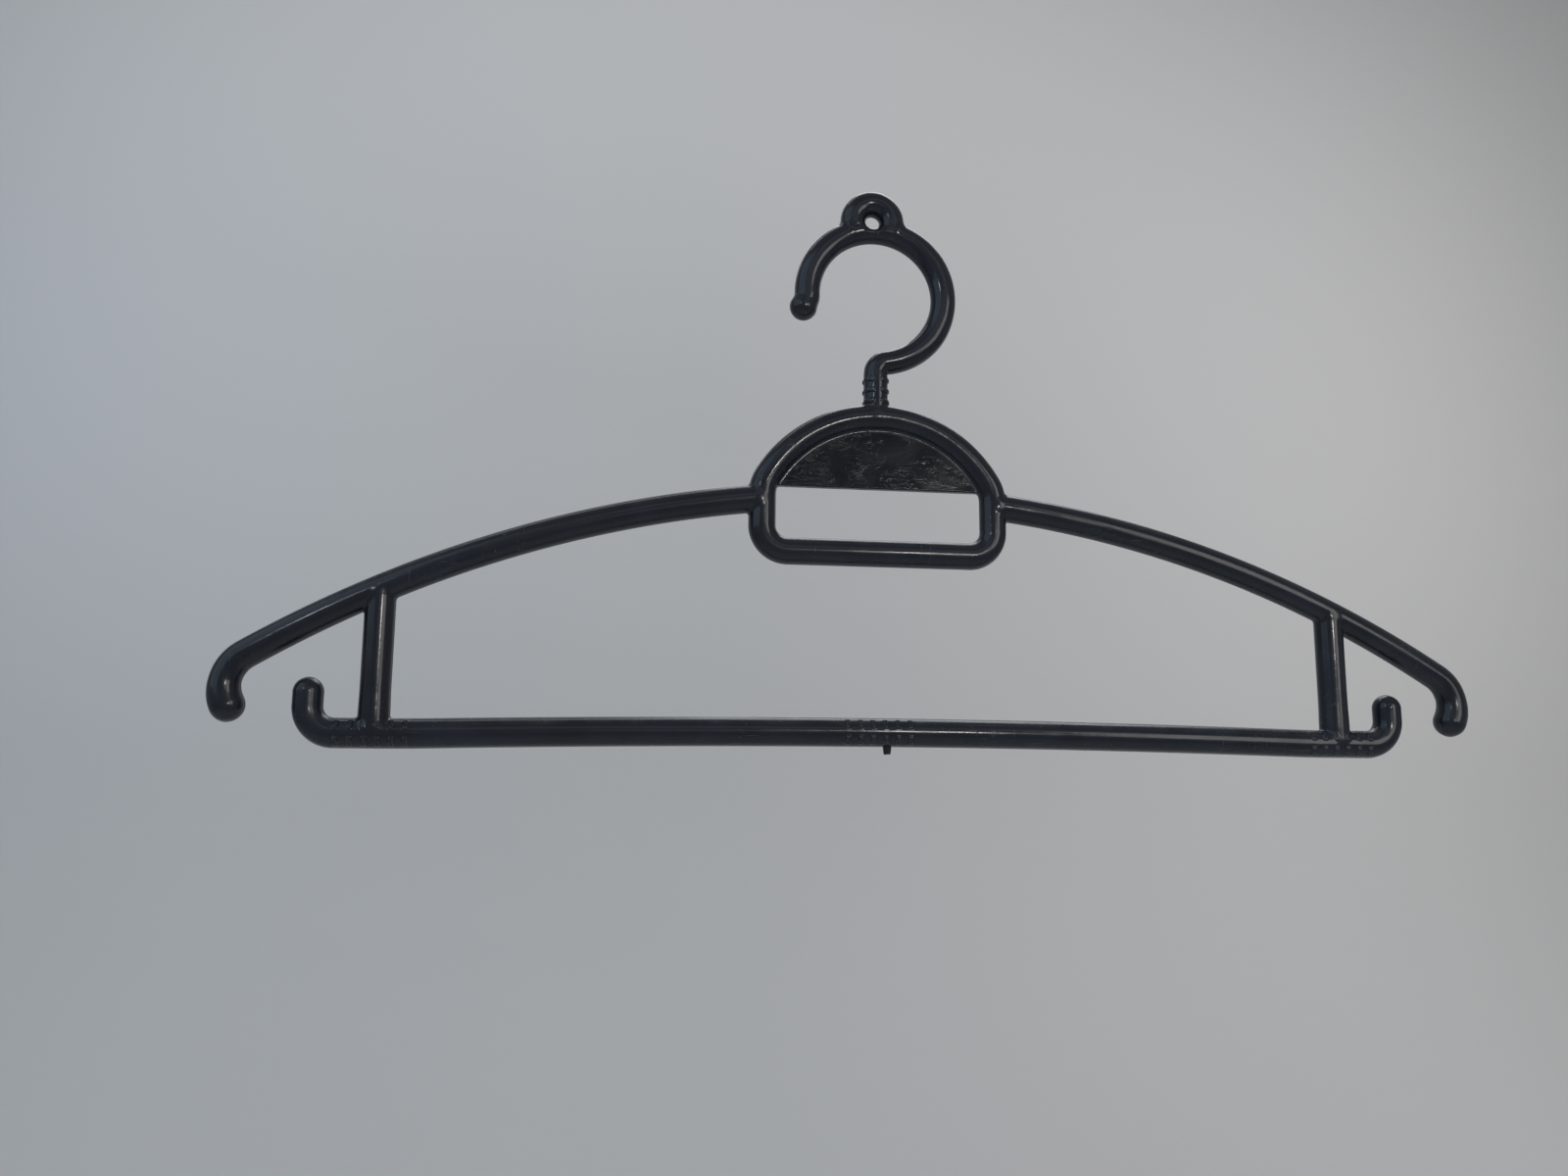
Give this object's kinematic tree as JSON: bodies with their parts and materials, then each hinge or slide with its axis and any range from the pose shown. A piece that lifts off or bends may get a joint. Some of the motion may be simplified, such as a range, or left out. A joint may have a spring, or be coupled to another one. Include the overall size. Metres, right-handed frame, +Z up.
{
  "type": "clothes hanger",
  "caption": "Moulded clothes hanger with a rail hook and string eye, D-shaped top frame, curved arms, ribbed trouser bar and strap hooks.",
  "frame": {"origin": "rail seat: the inside of the hook's crown, where the hanger rests on a rail", "axes": "+X along the hanger's width, +Y through its thickness to the back, +Z up as it hangs"},
  "size_m": [0.4188, 0.0106, 0.1949],
  "materials": {
    "navy_plastic": "dark navy moulded polypropylene, semi-gloss"
  },
  "bodies": {
    "root": {"rail_hook": "navy_plastic", "hook_tip": "navy_plastic", "hanging_eye": "navy_plastic", "neck": "navy_plastic", "top_frame": "navy_plastic", "label_plate": "navy_plastic", "left_arm": "navy_plastic", "right_arm": "navy_plastic", "left_arm_tip": "navy_plastic", "right_arm_tip": "navy_plastic", "left_upright": "navy_plastic", "right_upright": "navy_plastic", "left_bar_grip": "navy_plastic", "centre_bar_grip": "navy_plastic", "right_bar_grip": "navy_plastic", "left_bar_span": "navy_plastic", "right_bar_span": "navy_plastic", "left_strap_hook": "navy_plastic", "right_strap_hook": "navy_plastic", "gate_nub": "navy_plastic"}
  },
  "joints": []
}
